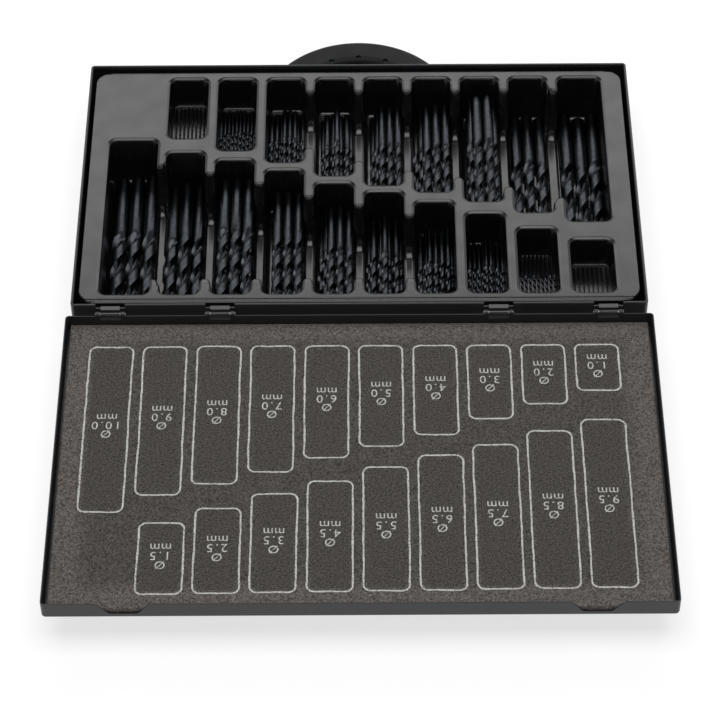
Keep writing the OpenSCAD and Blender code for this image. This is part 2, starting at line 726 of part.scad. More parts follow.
base_pan();
lid_pan();
foam_pad();
drill_tray();
hinge_straps();
hinge_pins();
handle();
handle_brackets();
handle_pins();
handle_rivets();
latch_left();
latch_right();
latch_brackets();
latch_pins();
latch_rivets();
drill_pile(1);  // drills_1_0
drill_pile(1.5);  // drills_1_5
drill_pile(2);  // drills_2_0
drill_pile(2.5);  // drills_2_5
drill_pile(3);  // drills_3_0
drill_pile(3.5);  // drills_3_5
drill_pile(4);  // drills_4_0
drill_pile(4.5);  // drills_4_5
drill_pile(5);  // drills_5_0
drill_pile(5.5);  // drills_5_5
drill_pile(6);  // drills_6_0
drill_pile(6.5);  // drills_6_5
drill_pile(7);  // drills_7_0
drill_pile(7.5);  // drills_7_5
drill_pile(8);  // drills_8_0
drill_pile(8.5);  // drills_8_5
drill_pile(9);  // drills_9_0
drill_pile(9.5);  // drills_9_5
drill_pile(10);  // drills_10_0
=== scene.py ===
import json
import math
import random

import bmesh
import bpy
import numpy as np
from mathutils import Matrix, Vector


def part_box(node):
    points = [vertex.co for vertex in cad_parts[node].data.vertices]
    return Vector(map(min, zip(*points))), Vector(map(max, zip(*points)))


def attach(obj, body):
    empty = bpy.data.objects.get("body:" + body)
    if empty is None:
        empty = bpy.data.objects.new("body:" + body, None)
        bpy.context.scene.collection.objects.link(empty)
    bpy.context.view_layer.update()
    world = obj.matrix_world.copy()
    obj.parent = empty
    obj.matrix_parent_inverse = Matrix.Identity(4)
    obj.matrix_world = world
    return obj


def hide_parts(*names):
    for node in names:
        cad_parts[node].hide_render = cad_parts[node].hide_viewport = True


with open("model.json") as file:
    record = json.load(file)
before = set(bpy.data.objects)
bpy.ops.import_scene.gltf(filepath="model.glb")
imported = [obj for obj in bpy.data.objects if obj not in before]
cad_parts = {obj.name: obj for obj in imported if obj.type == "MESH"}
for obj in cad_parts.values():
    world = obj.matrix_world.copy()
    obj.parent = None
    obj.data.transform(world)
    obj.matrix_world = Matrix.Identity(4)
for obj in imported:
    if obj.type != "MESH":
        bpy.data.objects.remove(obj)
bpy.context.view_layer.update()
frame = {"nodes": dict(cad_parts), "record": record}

MM = 0.001
nodes = frame["nodes"]
openings = {box["name"]: box["box_m"] for box in frame["record"]["physics"]["openings"]}


# ---------------------------------------------------------------- camera, light and floor

# The photograph's view, from a fit to the rims of base and lid
CAMERA_PLACE = (-0.0029, 1.3151, 1.3691)
CAMERA_DOWN = math.radians(48.953)
CAMERA_YAW = math.radians(0.129)
CAMERA_ROLL = math.radians(-0.394)
SENSOR = 36.0
FOCAL_PIXELS = 2771.5
PHOTO_PIXELS = 720

camera = bpy.data.objects.new("camera", bpy.data.cameras.new("camera"))
bpy.context.scene.collection.objects.link(camera)
camera.data.sensor_width = SENSOR
camera.data.lens = SENSOR * FOCAL_PIXELS / PHOTO_PIXELS
camera.data.clip_end = 50
camera.matrix_world = (
    Matrix.Translation(CAMERA_PLACE)
    @ Matrix.Rotation(math.pi + CAMERA_YAW, 4, "Z")
    @ Matrix.Rotation(math.pi / 2 - CAMERA_DOWN, 4, "X")
    @ Matrix.Rotation(CAMERA_ROLL, 4, "Z"))
bpy.context.scene.camera = camera
bpy.context.scene.view_settings.view_transform = "Standard"


def linear(colour):
    """An sRGB hex value as linear red, green, blue and alpha."""
    parts = [int(colour[i:i + 2], 16) / 255 for i in (1, 3, 5)]
    return [c / 12.92 if c <= 0.04045 else ((c + 0.055) / 1.055) ** 2.4 for c in parts] + [1]


def add_node(tree, kind, links=None, values=None, **settings):
    """Adds a node with its settings, its sockets' values and the sockets that feed it."""
    node = tree.nodes.new(kind)
    for name, value in settings.items():
        setattr(node, name, value)
    for name, value in (values or {}).items():
        node.inputs[name].default_value = value
    for name, source in (links or {}).items():
        tree.links.new(source, node.inputs[name])
    return node


def empty_tree(owner):
    """The emptied node tree of a material or world."""
    owner.use_nodes = True
    owner.node_tree.nodes.clear()
    return owner.node_tree


def softbox(name, place, target, width, depth, radiance):
    """A rectangular soft light, whose face has the given radiance."""
    light = bpy.data.lights.new(name, "AREA")
    light.shape = "RECTANGLE"
    light.size = width
    light.size_y = depth
    light.energy = radiance * math.pi * width * depth
    lamp = bpy.data.objects.new(name, light)
    lamp.location = place
    aim = Vector(target) - Vector(place)
    lamp.rotation_euler = aim.to_track_quat("-Z", "Y").to_euler()
    bpy.context.scene.collection.objects.link(lamp)


def seen_directly(tree):
    """1 for rays from the camera, and for those that gloss or glass sends on."""
    path = add_node(tree, "ShaderNodeLightPath")
    gloss = add_node(tree, "ShaderNodeMath", {0: path.outputs["Is Camera Ray"],
        1: path.outputs["Is Glossy Ray"]}, operation="MAXIMUM")
    return add_node(tree, "ShaderNodeMath", {0: gloss.outputs[0],
        1: path.outputs["Is Transmission Ray"]}, operation="MAXIMUM").outputs[0]


# Softboxes behind the case and above it, each as (place, aim, width, depth, radiance)
BACK_SOFTBOX = ((0.0, -1.55, 1.50), (0, 0.0, 0), 2.4, 0.62, 2.6)
TOP_SOFTBOX = ((0.0, 0.35, 2.2), (0, 0.2, 0), 2.0, 1.3, 4.0)
# What the room gives to matt surfaces, and where gloss sees white walls turn to dark ceiling
ROOM_LIGHT = 0.15
CEILING_LIGHT = 0.05
CEILING_LEAN = 0.5
WALL_TOP = 0.40
CEILING_START = 0.75
# The paper's radius, how much it is lifted towards white, and where it fades to plain white
FLOOR_RADIUS = 4.0
FLOOR_LIFT = 0.71
FADE_START = 0.55
FADE_END = 1.3


def studio():
    """White walls under a dark ceiling, a softbox behind and one above, and a paper floor."""
    world = bpy.data.worlds.new("studio")
    bpy.context.scene.world = world
    tree = empty_tree(world)
    # White walls all round, and above them a dark ceiling that comes lower on the camera's side
    way = add_node(tree, "ShaderNodeSeparateXYZ",
        {0: add_node(tree, "ShaderNodeTexCoord").outputs["Generated"]})
    lean = add_node(tree, "ShaderNodeMath", {0: way.outputs["Y"]}, {1: CEILING_LEAN, 2: 1.0},
        operation="MULTIPLY_ADD")
    height = add_node(tree, "ShaderNodeMath", {0: way.outputs["Z"], 1: lean.outputs[0]},
        operation="MULTIPLY")
    wall = add_node(tree, "ShaderNodeMapRange", {"Value": height.outputs[0]},
        {"From Min": WALL_TOP, "From Max": CEILING_START, "To Min": 1.0, "To Max": CEILING_LIGHT},
        interpolation_type="SMOOTHSTEP")
    strength = add_node(tree, "ShaderNodeMix", {"Factor": seen_directly(tree),
        "B": wall.outputs[0]}, {"A": ROOM_LIGHT})
    back = add_node(tree, "ShaderNodeBackground", {"Strength": strength.outputs[0]},
        {"Color": (1, 1, 1, 1)})
    add_node(tree, "ShaderNodeOutputWorld", {"Surface": back.outputs[0]})
    softbox("back_softbox", *BACK_SOFTBOX)
    softbox("top_softbox", *TOP_SOFTBOX)

    bpy.ops.mesh.primitive_circle_add(vertices=96, radius=FLOOR_RADIUS, fill_type="NGON")
    floor = bpy.context.object
    floor.name = "floor"
    paper = bpy.data.materials.new("white paper sweep")
    tree = empty_tree(paper)
    place = add_node(tree, "ShaderNodeNewGeometry").outputs["Position"]
    distance = add_node(tree, "ShaderNodeVectorMath", {0: place}, operation="LENGTH")
    # Far from the object the paper is plain white, so that it meets the surroundings unseen
    far = add_node(tree, "ShaderNodeMapRange", {"Value": distance.outputs["Value"]},
        {"From Min": FADE_START, "From Max": FADE_END}, interpolation_type="SMOOTHSTEP")
    # Bounced light sees a pale paper, and the camera a darker one that is lifted, so that the
    # case's shadow on it is as faint as in the photograph
    lit = add_node(tree, "ShaderNodeBsdfDiffuse", values={"Color": linear("#e9e9ea")})
    shade = add_node(tree, "ShaderNodeBsdfDiffuse", values={"Color": linear("#a8a8a9")})
    lift = add_node(tree, "ShaderNodeEmission",
        values={"Color": (1, 1, 1, 1), "Strength": FLOOR_LIFT})
    near = add_node(tree, "ShaderNodeAddShader", {0: shade.outputs[0], 1: lift.outputs[0]})
    white = add_node(tree, "ShaderNodeEmission", values={"Color": (1, 1, 1, 1), "Strength": 1.0})
    shown = add_node(tree, "ShaderNodeMixShader",
        {0: far.outputs[0], 1: near.outputs[0], 2: white.outputs[0]})
    both = add_node(tree, "ShaderNodeMixShader",
        {0: seen_directly(tree), 1: lit.outputs[0], 2: shown.outputs[0]})
    add_node(tree, "ShaderNodeOutputMaterial", {"Surface": both.outputs[0]})
    floor.data.materials.append(paper)


studio()


# ---------------------------------------------------------------- materials

def surface(name, colour, roughness, metallic=0.0, ior=1.5):
    """A new material as (material, tree, its one surface, metres on the piece)."""
    material = bpy.data.materials.new(name)
    tree = empty_tree(material)
    shader = add_node(tree, "ShaderNodeBsdfPrincipled", values={
        "Base Color": linear(colour), "Roughness": roughness, "Metallic": metallic, "IOR": ior})
    add_node(tree, "ShaderNodeOutputMaterial", {"Surface": shader.outputs[0]})
    place = add_node(tree, "ShaderNodeTexCoord").outputs["Object"]
    return material, tree, shader, place


def baked_enamel(name, colour, roughness):
    """Stoved enamel on sheet steel: dark, satin, with a faint orange peel of about 1.5 mm."""
    material, tree, shader, place = surface(name, colour, roughness)
    peel = add_node(tree, "ShaderNodeTexNoise", {"Vector": place},
        {"Scale": 1 / (1.5 * MM), "Detail": 1.0})
    bump = add_node(tree, "ShaderNodeBump", {"Height": peel.outputs["Fac"]},
        {"Distance": 0.012 * MM})
    tree.links.new(bump.outputs[0], shader.inputs["Normal"])
    # Dust of 0.9 mm, drawn coarser than it is so that it shows at all
    specks = add_node(tree, "ShaderNodeTexNoise", {"Vector": place},
        {"Scale": 1 / (0.9 * MM), "Detail": 3.0})
    dust = add_node(tree, "ShaderNodeMapRange", {"Value": specks.outputs["Fac"]},
        {"From Min": 0.62, "From Max": 0.78, "To Min": 0.0, "To Max": 0.10})
    dusty = add_node(tree, "ShaderNodeMix", {"Factor": dust.outputs[0]},
        {6: linear(colour), 7: linear("#8a8b8d")}, data_type="RGBA")
    tree.links.new(dusty.outputs[2], shader.inputs["Base Color"])
    clouds = add_node(tree, "ShaderNodeTexNoise", {"Vector": place}, {"Scale": 1 / (28.0 * MM)})
    sheen = add_node(tree, "ShaderNodeMapRange", {"Value": clouds.outputs["Fac"]},
        {"From Min": 0.35, "From Max": 0.65, "To Min": roughness - 0.015,
            "To Max": roughness + 0.02})
    tree.links.new(sheen.outputs[0], shader.inputs["Roughness"])
    return material


def formed_polystyrene():
    """Vacuum-formed black polystyrene sheet: glossy, with slow waves where it cooled."""
    material, tree, shader, place = surface("vacuum-formed polystyrene", "#111011", 0.24)
    waves = add_node(tree, "ShaderNodeTexNoise", {"Vector": place},
        {"Scale": 1 / (30.0 * MM), "Detail": 0.0})
    bump = add_node(tree, "ShaderNodeBump", {"Height": waves.outputs["Fac"]},
        {"Distance": 0.05 * MM})
    tree.links.new(bump.outputs[0], shader.inputs["Normal"])
    clouds = add_node(tree, "ShaderNodeTexNoise", {"Vector": place},
        {"Scale": 1 / (14.0 * MM), "Detail": 1.0})
    haze = add_node(tree, "ShaderNodeMapRange", {"Value": clouds.outputs["Fac"]},
        {"From Min": 0.3, "From Max": 0.7, "To Min": 0.21, "To Max": 0.27})
    tree.links.new(haze.outputs[0], shader.inputs["Roughness"])
    return material


def open_cell_foam():
    """Grey-brown polyurethane foam: cells near 1 mm, darker where its face is worn."""
    material, tree, shader, place = surface("open-cell polyurethane foam", "#5b5652", 0.95,
        ior=1.4)
    worn = add_node(tree, "ShaderNodeAttribute", attribute_name="pressed")
    froth = add_node(tree, "ShaderNodeTexNoise", {"Vector": place},
        {"Scale": 1 / (1.1 * MM), "Detail": 3.0, "Roughness": 0.75})
    cells = add_node(tree, "ShaderNodeMapRange", {"Value": froth.outputs["Fac"]},
        {"From Min": 0.34, "From Max": 0.68})
    clean = add_node(tree, "ShaderNodeMix", {"Factor": cells.outputs[0]},
        {6: linear("#2b2826"), 7: linear("#8b847f")}, data_type="RGBA")
    dark = add_node(tree, "ShaderNodeMix", {"Factor": cells.outputs[0]},
        {6: linear("#1d1b1a"), 7: linear("#6c6763")}, data_type="RGBA")
    colour = add_node(tree, "ShaderNodeMix",
        {"Factor": worn.outputs["Fac"], 6: clean.outputs[2], 7: dark.outputs[2]},
        data_type="RGBA")
    tree.links.new(colour.outputs[2], shader.inputs["Base Color"])
    swells = add_node(tree, "ShaderNodeTexNoise", {"Vector": place},
        {"Scale": 1 / (6.0 * MM), "Detail": 1.0})
    coarse = add_node(tree, "ShaderNodeBump", {"Height": swells.outputs["Fac"]},
        {"Distance": 0.25 * MM})
    fine = add_node(tree, "ShaderNodeBump",
        {"Height": cells.outputs[0], "Normal": coarse.outputs[0]}, {"Distance": 0.35 * MM})
    tree.links.new(fine.outputs[0], shader.inputs["Normal"])
    return material


def printed_ink():
    """White screen ink on foam: it sits on the cell walls, so it breaks up at cell size."""
    material, tree, shader, place = surface("white screen ink on foam", "#c4c4c1", 0.8, ior=1.45)
    froth = add_node(tree, "ShaderNodeTexNoise", {"Vector": place},
        {"Scale": 1 / (0.9 * MM), "Roughness": 0.7})
    gaps = add_node(tree, "ShaderNodeMapRange", {"Value": froth.outputs["Fac"]},
        {"From Min": 0.36, "From Max": 0.5, "To Min": 1.0, "To Max": 0.0})
    broken = add_node(tree, "ShaderNodeMix", {"Factor": gaps.outputs[0]},
        {6: linear("#cfcfcb"), 7: linear("#6d6964")}, data_type="RGBA")
    tree.links.new(broken.outputs[2], shader.inputs["Base Color"])
    return material


def moulded_polypropylene():
    """Injection-moulded black polypropylene: satin, with a fine eroded grain of 0.4 mm."""
    material, tree, shader, place = surface("moulded polypropylene", "#151617", 0.5, ior=1.49)
    shader.inputs["Specular IOR Level"].default_value = 0.15
    eroded = add_node(tree, "ShaderNodeTexNoise", {"Vector": place}, {"Scale": 1 / (0.4 * MM)})
    bump = add_node(tree, "ShaderNodeBump", {"Height": eroded.outputs["Fac"]},
        {"Distance": 0.02 * MM})
    tree.links.new(bump.outputs[0], shader.inputs["Normal"])
    patches = add_node(tree, "ShaderNodeTexNoise", {"Vector": place}, {"Scale": 1 / (12.0 * MM)})
    handled = add_node(tree, "ShaderNodeMapRange", {"Value": patches.outputs["Fac"]},
        {"From Min": 0.3, "From Max": 0.7, "To Min": 0.46, "To Max": 0.56})
    tree.links.new(handled.outputs[0], shader.inputs["Roughness"])
    return material


def steam_tempered_steel():
    """High-speed steel, steam-tempered: a blue-black oxide skin over ground metal."""
    material, tree, shader, place = surface("steam-tempered high-speed steel", "#303235", 0.31,
        metallic=1.0)
    clouds = add_node(tree, "ShaderNodeTexNoise", {"Vector": place},
        {"Scale": 1 / (3.0 * MM), "Detail": 3.0})
    skin = add_node(tree, "ShaderNodeMapRange", {"Value": clouds.outputs["Fac"]},
        {"From Min": 0.3, "From Max": 0.7})
    oxide = add_node(tree, "ShaderNodeMix", {"Factor": skin.outputs[0]},
        {6: linear("#2c2e31"), 7: linear("#3b3d41")}, data_type="RGBA")
    tree.links.new(oxide.outputs[2], shader.inputs["Base Color"])
    # Grinding marks run round the drill, so they are six times finer along it
    along = add_node(tree, "ShaderNodeMapping", {"Vector": place}, {"Scale": (1.0, 6.0, 1.0)})
    marks = add_node(tree, "ShaderNodeTexNoise", {"Vector": along.outputs[0]},
        {"Scale": 1 / (0.6 * MM)})
    bump = add_node(tree, "ShaderNodeBump", {"Height": marks.outputs["Fac"]},
        {"Distance": 0.008 * MM})
    tree.links.new(bump.outputs[0], shader.inputs["Normal"])
    return material


def zinc_plated_steel():
    """Bright zinc on drawn wire and rivets: pale metal with a soft sheen."""
    material, tree, shader, place = surface("zinc-plated steel", "#b4b6ba", 0.34, metallic=1.0)
    crystals = add_node(tree, "ShaderNodeTexNoise", {"Vector": place}, {"Scale": 1 / (0.5 * MM)})
    bump = add_node(tree, "ShaderNodeBump", {"Height": crystals.outputs["Fac"]},
        {"Distance": 0.006 * MM})
    tree.links.new(bump.outputs[0], shader.inputs["Normal"])
    return material


CASE_ENAMEL = baked_enamel("stoved enamel on sheet steel", "#232427", 0.40)
FITTING_ENAMEL = baked_enamel("stoved enamel on pressed fittings", "#232427", 0.27)
POLYSTYRENE = formed_polystyrene()
FOAM = open_cell_foam()
INK = printed_ink()
POLYPROPYLENE = moulded_polypropylene()
DRILL_STEEL = steam_tempered_steel()
ZINC = zinc_plated_steel()

KEPT = {
    CASE_ENAMEL: ["base_pan", "lid_pan"],
    FITTING_ENAMEL: ["hinge_straps", "handle_brackets", "latch_left", "latch_right",
        "latch_brackets"],
    POLYPROPYLENE: ["handle"],
    ZINC: ["hinge_pins", "handle_pins", "handle_rivets", "latch_pins", "latch_rivets"],
}
for material, names in KEPT.items():
    for name in names:
        for slot in nodes[name].material_slots:
            slot.material = material


# ---------------------------------------------------------------- meshes from arrays

def mesh_piece(name, points, faces, material, body):
    """A smooth piece from arrays of points and lists of faces, riding on a body."""
    mesh = bpy.data.meshes.new(name)
    mesh.from_pydata(points.tolist(), [], faces)
    mesh.polygons.foreach_set("use_smooth", [True] * len(mesh.polygons))
    mesh.materials.append(material)
    mesh.update()
    piece = bpy.data.objects.new(name, mesh)
    bpy.context.scene.collection.objects.link(piece)
    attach(piece, body)
    return piece


def grid_faces(rows, columns, keep=None):
    """Quads of a rows by columns grid of points, as index arrays."""
    index = np.arange(rows * columns).reshape(rows, columns)
    quads = np.stack([index[:-1, :-1], index[:-1, 1:], index[1:, 1:], index[1:, :-1]], axis=-1)
    return quads[keep] if keep is not None else quads.reshape(-1, 4)


def face_outwards(mesh):
    """Drops points without faces and turns every face outwards, or upwards on an open sheet."""
    shape = bmesh.new()
    shape.from_mesh(mesh)
    loose = [v for v in shape.verts if not v.link_faces]
    bmesh.ops.delete(shape, geom=loose, context="VERTS")
    bmesh.ops.recalc_face_normals(shape, faces=shape.faces)
    if sum(f.normal.z for f in shape.faces) < 0:
        bmesh.ops.reverse_faces(shape, faces=shape.faces)
    shape.to_mesh(mesh)
    shape.free()


def smooth_step(value, low, high):
    """0 up to low and 1 from high on, with a smooth rise in between."""
    share = np.clip((value - low) / (high - low), 0, 1)
    return share * share * (3 - 2 * share)


def outside_rounded_rect(x, y, box, radius):
    """Distance from a rounded rectangle's edge, negative inside it."""
    x0, y0, x1, y1 = box
    dx = np.abs(x - (x0 + x1) / 2) - (x1 - x0) / 2 + radius
    dy = np.abs(y - (y0 + y1) / 2) - (y1 - y0) / 2 + radius
    return (np.hypot(np.maximum(dx, 0), np.maximum(dy, 0))
        + np.minimum(np.maximum(dx, dy), 0) - radius)


# ---------------------------------------------------------------- the formed tray

# Sizes of the forming, which the CAD's sharp pockets leave out
LIP_ROLL_R = 0.5 * MM
LIP_ROLL_POINTS = 4
LIP_BEND_POINTS = 9
LIP_BEVEL = 1.5 * MM
LIP_TILT = math.radians(22)
LIP_R = 0.9 * MM
# The radius at a pocket's foot, and how it shrinks with the diameter of thin drills
FOOT_R = 3.2 * MM
FOOT_SHARE = 0.45
FOOT_LEAST = 0.4 * MM
DRAFT = math.radians(0.8)
POCKET_CORNER = 7.2 * MM
TRAY_CORNER = 11 * MM
EDGE_R = 1.0 * MM
# From the clear space in the record to the pocket's wall, and on to where its lip begins
OPENING_INSET = 1.4 * MM
LIP_FLARE = 1.75 * MM
DRILL_SEAT = 0.3 * MM
LEDGE_STEP = 1.0 * MM
LEDGE_WIDTH = 3.8 * MM
LEDGE_RUN = 1.2 * MM
SKIRT_RUN = 0.2 * MM
# The finger scoops: full-height rib at each end, leaning end faces with a rolled top and a
# rounded foot, and a low ridge left above the shallower pocket's floor
SCOOPED_LENGTH = 80 * MM
SCOOP_END = 14 * MM
SCOOP_RIDGE = 3 * MM
SCOOP_LEAN = math.radians(16)
SCOOP_TOP_R = 2.5 * MM
SCOOP_FOOT_R = 10 * MM
NUB_TIP_R = 3.6 * MM
# Pockets of the hinge-side row reach past this line, and those of the front row don't
HINGE_ROW_REACH = 95 * MM
# Grid lines beside a wall, close over its lip and wider over its foot, and those from the end
# of a scoop; then the steps of the grid elsewhere and the least gap between two lines
WALL_LINES = np.concatenate([np.arange(0, 2.2, 0.27), np.arange(2.4, 6.8, 0.5)]) * MM
SCOOP_LINES = np.concatenate([np.arange(-2.1, 0, 0.4), np.arange(0.2, 20, 0.8)]) * MM
ACROSS_STEP = 4 * MM
ALONG_STEP = 2.2 * MM
LEAST_GAP = 0.12 * MM
# Cells of the grid that lie wholly this far outside the tray are left out
OUTSIDE_MARGIN = 0.2 * MM


def pocket_boxes():
    """Each pocket's rectangle and floor, from the clear space and the drills in the frame."""
    pockets = []
    for name, (low, high) in openings.items():
        if name.startswith("pocket_"):
            drills = name.replace("pocket_", "drills_")
            out = OPENING_INSET + LIP_FLARE
            diameter = float(name.replace("pocket_", "").replace("_", ".")) * MM
            pockets.append({"floor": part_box(drills)[0].z - DRILL_SEAT,
                "foot": min(FOOT_R, FOOT_SHARE * diameter + FOOT_LEAST),
                "box": (low[0] - out, low[1] - out, high[0] + out, high[1] + out)})
    return pockets


def scooped_ribs(pockets):
    """Ribs between long neighbours, as (x from, x to, y from, y to, height of the ridge)."""
    ribs = []
    hinge_row = [p for p in pockets if p["box"][3] > HINGE_ROW_REACH]
    front_row = [p for p in pockets if p["box"][3] <= HINGE_ROW_REACH]
    for row in (hinge_row, front_row):
        ordered = sorted(row, key=lambda p: p["box"][0])
        for left, right in zip(ordered, ordered[1:]):
            y0 = max(left["box"][1], right["box"][1]) + LIP_FLARE
            y1 = min(left["box"][3], right["box"][3]) - LIP_FLARE
            if y1 - y0 > SCOOPED_LENGTH:
                ribs.append(((left["box"][0] + left["box"][2]) / 2,
                    (right["box"][0] + right["box"][2]) / 2, y0 + SCOOP_END, y1 - SCOOP_END,
                    max(left["floor"], right["floor"]) + SCOOP_RIDGE))
    return ribs


def scoop_drop(along, depth):
    """How far the rib lies below the land at a distance along from a scoop's end."""
    sin, cos, tan = math.sin(SCOOP_LEAN), math.cos(SCOOP_LEAN), math.tan(SCOOP_LEAN)
    roll = SCOOP_TOP_R * math.tan((math.pi / 2 - SCOOP_LEAN) / 2)
    rolled = SCOOP_TOP_R - np.sqrt(np.maximum(SCOOP_TOP_R ** 2 - (along + roll) ** 2, 0))
    foot = (depth - SCOOP_FOOT_R) * tan + SCOOP_FOOT_R / cos
    hollow = depth - SCOOP_FOOT_R + np.sqrt(
        np.maximum(SCOOP_FOOT_R ** 2 - (foot - along) ** 2, 0))
    return np.select([along < -roll, along < roll * sin, along < foot - SCOOP_FOOT_R * cos,
        along < foot], [0 * along, rolled, along / tan, hollow], depth)


def lip_profile():
    """A pocket's lip as (runs, drops): a slight roll, a bevel, then a bend into the wall."""
    runs, drops = [], []
    for t in np.linspace(0, LIP_TILT, LIP_ROLL_POINTS):
        runs.append(LIP_ROLL_R * math.sin(t))
        drops.append(LIP_ROLL_R * (1 - math.cos(t)))
    bevel = (runs[-1] + LIP_BEVEL * math.cos(LIP_TILT),
        drops[-1] + LIP_BEVEL * math.sin(LIP_TILT))
    for t in np.linspace(LIP_TILT, math.pi / 2 - DRAFT, LIP_BEND_POINTS):
        runs.append(bevel[0] + LIP_R * (math.sin(t) - math.sin(LIP_TILT)))
        drops.append(bevel[1] + LIP_R * (math.cos(LIP_TILT) - math.cos(t)))
    return runs, drops


LIP_RUNS, LIP_DROPS = lip_profile()


def wall_height(inward, top, land, floor, foot_r):
    """Height of the formed sheet at a distance inward from a pocket's edge, where the sheet
    beside it stands at top: a bevelled lip, a wall with draft and a rounded foot."""
    lean = math.tan(DRAFT)
    lip_end, lip_drop = LIP_RUNS[-1], LIP_DROPS[-1]
    from_lip = inward - (land - top) * lean
    lip = top - np.interp(from_lip, LIP_RUNS, LIP_DROPS)
    wall = land - lip_drop - (inward - lip_end) / lean
    height = np.where(from_lip < lip_end, lip, wall)
    foot_end = lip_end + (land - lip_drop - floor - foot_r) * lean + foot_r / math.cos(DRAFT)
    in_foot = np.clip(foot_end - inward, 0, foot_r * math.cos(DRAFT))
    foot = floor + foot_r - np.sqrt(foot_r ** 2 - in_foot ** 2)
    near_foot = foot_end - inward < foot_r * math.cos(DRAFT)
    return np.where(near_foot, np.minimum(foot, top), np.minimum(height, top))


def close_lines(walls, more, step):
    """Grid lines near each wall, given as (place, direction into the pocket), and at more."""
    lines = [place + side * t for place, side in walls for t in WALL_LINES] + more
    low, high = min(p for p, _ in walls), max(p for p, _ in walls)
    lines += list(np.arange(low, high, step))
    lines = np.unique(np.round(lines, 6))
    kept = [lines[0]]
    for line in lines[1:]:
        if line - kept[-1] > LEAST_GAP:
            kept.append(line)
    return np.array([line for line in kept if low <= line <= high])


def formed_tray():
    """The tray as one sheet: flat top, ledge, scooped ribs, pockets and skirt."""
    low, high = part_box("drill_tray")
    land, ground = high.z, low.z
    pockets = pocket_boxes()
    outer = (low.x, low.y, high.x, high.y)
    x_walls = [(low.x, 1), (high.x, -1)]
    y_walls = [(low.y, 1), (high.y, -1), (high.y - LEDGE_WIDTH, -1)]
    for pocket in pockets:
        x0, y0, x1, y1 = pocket["box"]
        x_walls += [(x0, 1), (x1, -1)]
        y_walls += [(y0, 1), (y1, -1)]
    ribs = scooped_ribs(pockets)
    ends = [place + side * t for _, _, y0, y1, _ in ribs for place, side in ((y0, 1), (y1, -1))
        for t in SCOOP_LINES]
    xs = close_lines(x_walls, [], ACROSS_STEP)
    ys = close_lines(y_walls, ends, ALONG_STEP)
    x, y = np.meshgrid(xs, ys, indexing="ij")

    top = np.full(x.shape, land)
    for x0, x1, y0, y1, ridge in ribs:
        aside = np.clip(np.abs(x - (x0 + x1) / 2), 0, NUB_TIP_R)
        rounded = NUB_TIP_R - np.sqrt(NUB_TIP_R ** 2 - aside ** 2)
        along = np.minimum(y - y0, y1 - y) + rounded
        scooped = land - scoop_drop(along, land - ridge)
        top = np.where((x > x0) & (x < x1), np.minimum(top, scooped), top)
    ledge = high.y - LEDGE_WIDTH
    top = top - LEDGE_STEP * smooth_step(y, ledge, ledge + LEDGE_RUN)

    height = top.copy()
    for pocket in pockets:
        inward = -outside_rounded_rect(x, y, pocket["box"], POCKET_CORNER)
        dug = wall_height(inward, top, land, pocket["floor"], pocket["foot"])
        height = np.where(inward > 0, np.minimum(height, dug), height)
    inset = -outside_rounded_rect(x, y, outer, TRAY_CORNER)
    edge = np.clip(inset - SKIRT_RUN, 0, EDGE_R)
    lip = top - (EDGE_R - np.sqrt(EDGE_R ** 2 - (EDGE_R - edge) ** 2))
    skirt = ground + (top - EDGE_R - ground) * np.clip(inset / SKIRT_RUN, 0, 1)
    height = np.minimum(height, np.where(inset < SKIRT_RUN, skirt, lip))

    points = np.stack([x, y, height], axis=-1).reshape(-1, 3)
    rows, columns = x.shape
    outside = inset < -OUTSIDE_MARGIN
    keep = ~(outside[:-1, :-1] & outside[1:, :-1] & outside[:-1, 1:] & outside[1:, 1:])
    quads = grid_faces(rows, columns, keep).tolist()
    piece = mesh_piece("formed_tray", points, quads, POLYSTYRENE, "base")
    face_outwards(piece.data)
    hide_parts("drill_tray")


# ---------------------------------------------------------------- the twist drills

POINT_HALF_ANGLE = math.radians(59)
# A jobber drill's flutes take this share of its length
FLUTE_SHARE = 0.63
# Lead of a 30 degree helix, in diameters
HELIX_LEAD = math.pi / math.tan(math.radians(30))
# Half a section is a land over this angle and then a flute, whose depth is a share of the
# radius and whose hollow leans towards the land and is fuller than a sine
LAND_ANGLE = math.radians(72)
FLUTE_DEPTH = 0.70
FLUTE_LEAN = 0.8
FLUTE_FULLNESS = 0.75
# Points in half a section and the rings' spacing in diameters, for thick and for thin drills
THIN_DIAMETER = 2.8 * MM
THICK_DETAIL = (14, 0.2)
THIN_DETAIL = (7, 0.36)
# The shank's chamfer, the flutes' run-out and the last ring's place, in diameters or radii
CHAMFER_RUN = 0.04
CHAMFER_SHARE = 0.92
RUN_OUT = 1.1
TIP_RUN = 0.75
SHARP_ANGLE = math.radians(38)
MERGE_DISTANCE = 1e-6


def drill_axes(node):
    """Each bar of a CAD node as (x, y of its shank end, z, length, diameter)."""
    bars = bmesh.new()
    bars.from_mesh(nodes[node].data)
    bmesh.ops.remove_doubles(bars, verts=bars.verts, dist=MERGE_DISTANCE)
    left = set(bars.verts)
    found = []
    while left:
        reached = [left.pop()]
        for vert in reached:
            for edge in vert.link_edges:
                other = edge.other_vert(vert)
                if other in left:
                    left.remove(other)
                    reached.append(other)
        co = np.array([v.co for v in reached])
        low, high = co.min(0), co.max(0)
        found.append(((low[0] + high[0]) / 2, low[1], (low[2] + high[2]) / 2,
            high[1] - low[1], high[0] - low[0]))
    bars.free()
    return sorted(found)


